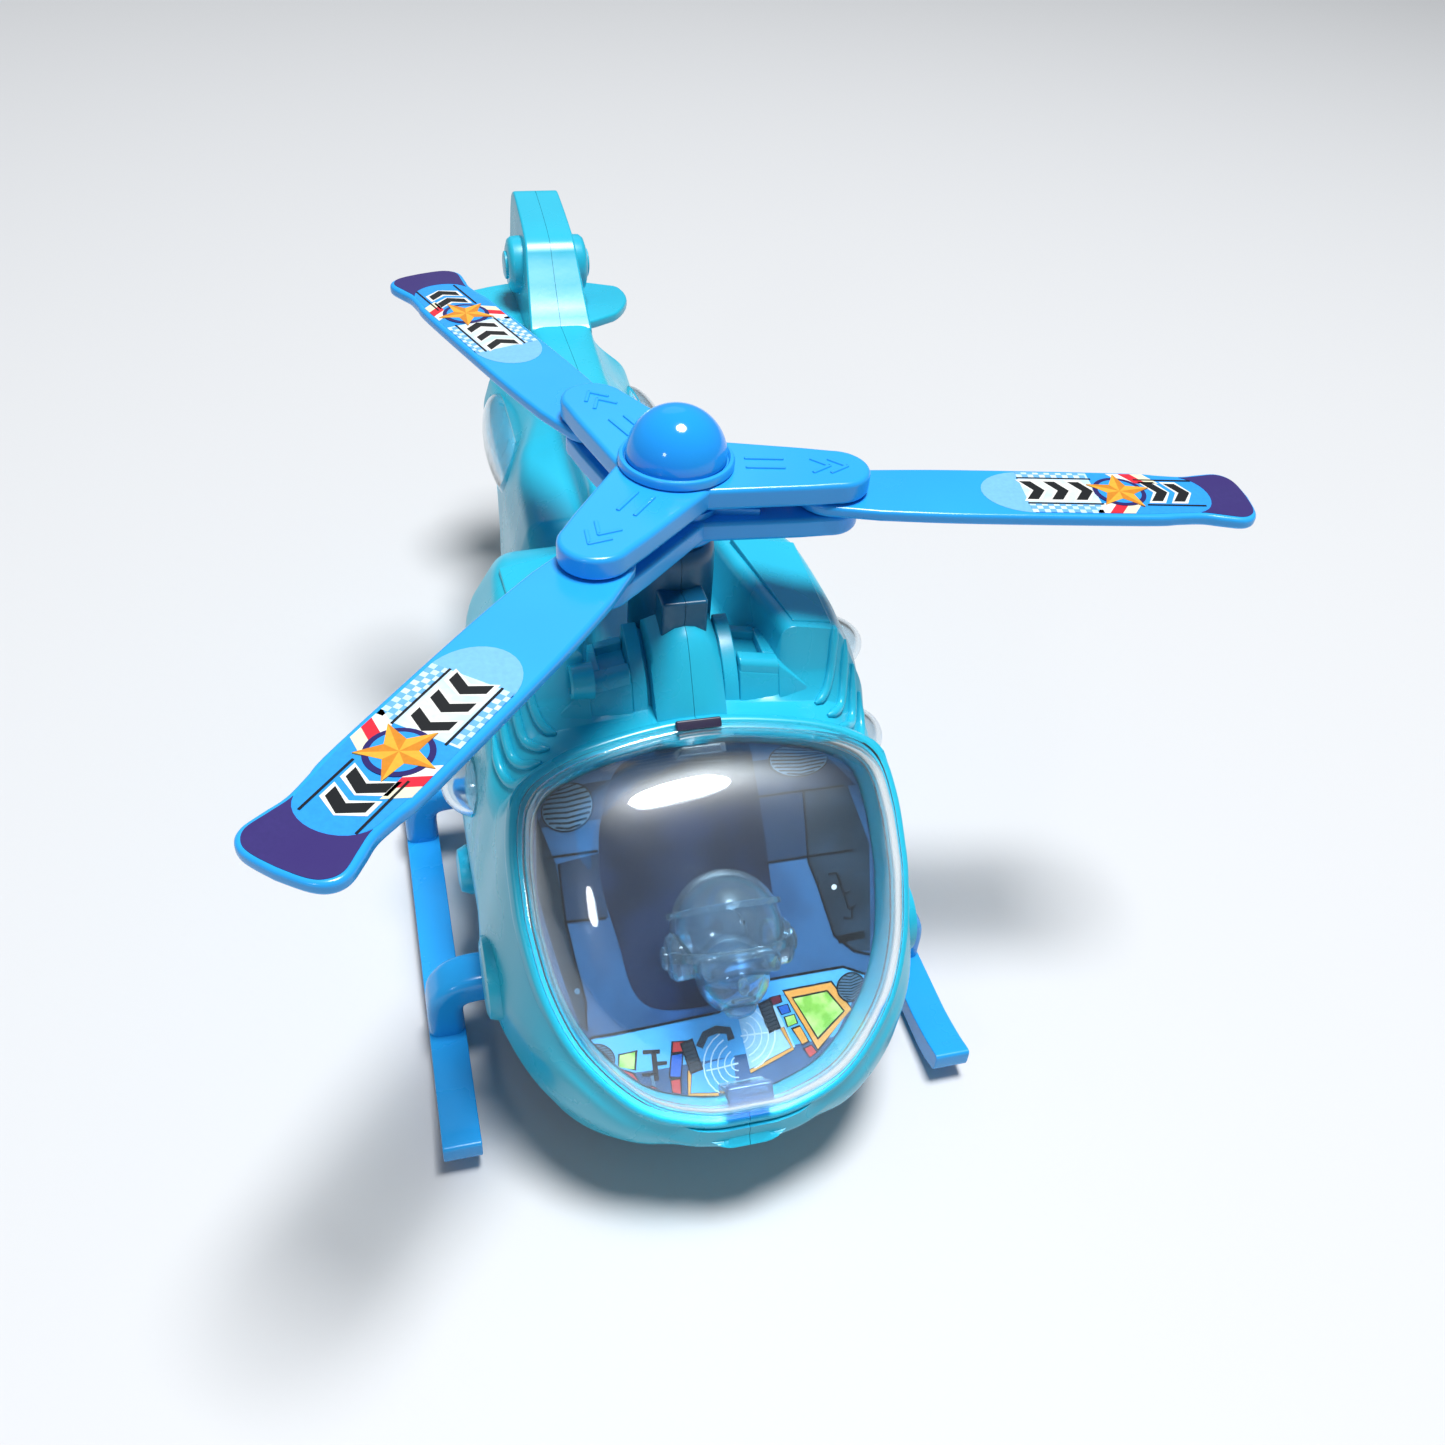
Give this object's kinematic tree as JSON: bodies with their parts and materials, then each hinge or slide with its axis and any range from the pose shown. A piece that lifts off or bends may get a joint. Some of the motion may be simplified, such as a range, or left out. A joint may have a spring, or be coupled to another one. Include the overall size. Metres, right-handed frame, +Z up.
{
  "type": "toy helicopter",
  "caption": "Battery toy helicopter with a folding-blade rotor, bubble canopy over a pilot figure, fixed skids and a swivelling drive turret under the nose.",
  "frame": {"origin": "on the flat underside of the chassis, directly below the rotor mast", "axes": "+X to the right side as seen from the front of the picture, +Y from the nose to the tail, +Z up along the rotor mast"},
  "size_m": [0.2037, 0.2893, 0.1453],
  "materials": {
    "body_cyan": "glossy moulded ABS",
    "chassis_blue": "glossy moulded ABS",
    "rotor_blue": "glossy moulded ABS",
    "blade_blue": "glossy moulded ABS with printed stickers",
    "clear_canopy": "clear polystyrene, polished",
    "clear_figure": "clear polystyrene, moulded",
    "clear_lens": "clear polystyrene, moulded",
    "printed_card": "printed sticker",
    "white_nylon": "natural nylon",
    "dark_plastic": "satin",
    "steel": "plated",
    "bush_brass": "turned",
    "wheel_rubber": "matte",
    "cell_wrap": "printed wrap",
    "board": "solder mask",
    "led_red": "tinted epoxy"
  },
  "bodies": {
    "body": {"battery_cell_1": "cell_wrap", "battery_cell_2": "cell_wrap", "battery_cell_3": "cell_wrap", "battery_contact_front": "steel", "battery_contact_rear": "steel", "battery_door": "chassis_blue", "battery_door_screw": "steel", "body_shell_left": "body_cyan", "body_shell_right": "body_cyan", "canopy": "clear_canopy", "case_screw_1": "steel", "case_screw_2": "steel", "case_screw_3": "steel", "case_screw_4": "steel", "case_screw_5": "steel", "chassis_base": "chassis_blue", "circuit_board": "board", "cockpit_card": "printed_card", "cockpit_tray": "body_cyan", "drive_gearbox": "white_nylon", "drive_motor": "steel", "gear_bracket": "white_nylon", "mast_bush": "bush_brass", "pilot_head": "clear_figure", "rear_lens_left": "clear_lens", "rear_lens_right": "clear_lens", "rotor_motor": "steel", "side_led_left": "led_red", "side_led_right": "led_red", "side_lens_left": "clear_lens", "side_lens_right": "clear_lens", "skid_left": "rotor_blue", "skid_right": "rotor_blue", "speaker": "dark_plastic", "switch_body": "dark_plastic"},
    "rotor": {"rotor_hub_lower": "rotor_blue", "rotor_hub_upper": "rotor_blue", "rotor_dome": "rotor_blue", "rotor_shaft": "steel", "rotor_gear": "white_nylon", "blade_pin_1": "rotor_blue", "blade_pin_2": "rotor_blue", "blade_pin_3": "rotor_blue"},
    "blade_1": {"rotor_blade_1": "blade_blue"},
    "blade_2": {"rotor_blade_2": "blade_blue"},
    "blade_3": {"rotor_blade_3": "blade_blue"},
    "motor_pinion": {"rotor_pinion": "white_nylon"},
    "turret": {"drive_turret": "dark_plastic"},
    "drive_wheels": {"drive_axle": "steel", "drive_wheel_left": "wheel_rubber", "drive_wheel_right": "wheel_rubber"},
    "rear_wheels": {"rear_axle": "steel", "rear_wheel_left": "wheel_rubber", "rear_wheel_right": "wheel_rubber"},
    "power_switch": {"switch_knob": "dark_plastic"}
  },
  "joints": [
    {"name": "rotor_spin", "type": "hinge", "parent": "body", "child": "rotor", "pos_m": [0, 0, 0.118], "axis": [0, 0, 1], "continuous": true},
    {"name": "pinion_spin", "type": "hinge", "parent": "body", "child": "motor_pinion", "pos_m": [0, 0.0192, 0.065], "axis": [0, 0, 1], "continuous": true},
    {"name": "blade_fold_1", "type": "hinge", "parent": "rotor", "child": "blade_1", "pos_m": [0.03149, -0.00567, 0.1167], "axis": [0, 0, 1], "range_deg": [0, 90]},
    {"name": "blade_fold_2", "type": "hinge", "parent": "rotor", "child": "blade_2", "pos_m": [-0.01084, 0.03011, 0.1167], "axis": [0, 0, 1], "range_deg": [0, 90]},
    {"name": "blade_fold_3", "type": "hinge", "parent": "rotor", "child": "blade_3", "pos_m": [-0.02065, -0.02444, 0.1167], "axis": [0, 0, 1], "range_deg": [0, 90]},
    {"name": "turret_swivel", "type": "hinge", "parent": "body", "child": "turret", "pos_m": [0, -0.038, 0.002], "axis": [0, 0, 1], "continuous": true},
    {"name": "drive_wheel_spin", "type": "hinge", "parent": "turret", "child": "drive_wheels", "pos_m": [0, -0.038, -0.002], "axis": [1, 0, 0], "continuous": true},
    {"name": "rear_wheel_spin", "type": "hinge", "parent": "body", "child": "rear_wheels", "pos_m": [0, 0.073, -0.002], "axis": [1, 0, 0], "continuous": true},
    {"name": "switch_slide", "type": "slide", "parent": "body", "child": "power_switch", "axis": [0, 1, 0], "range_m": [0, 0.003]}
  ],
  "couplings": [
    {"joint": "pinion_spin", "follows": "rotor_spin", "ratio": -3}
  ]
}
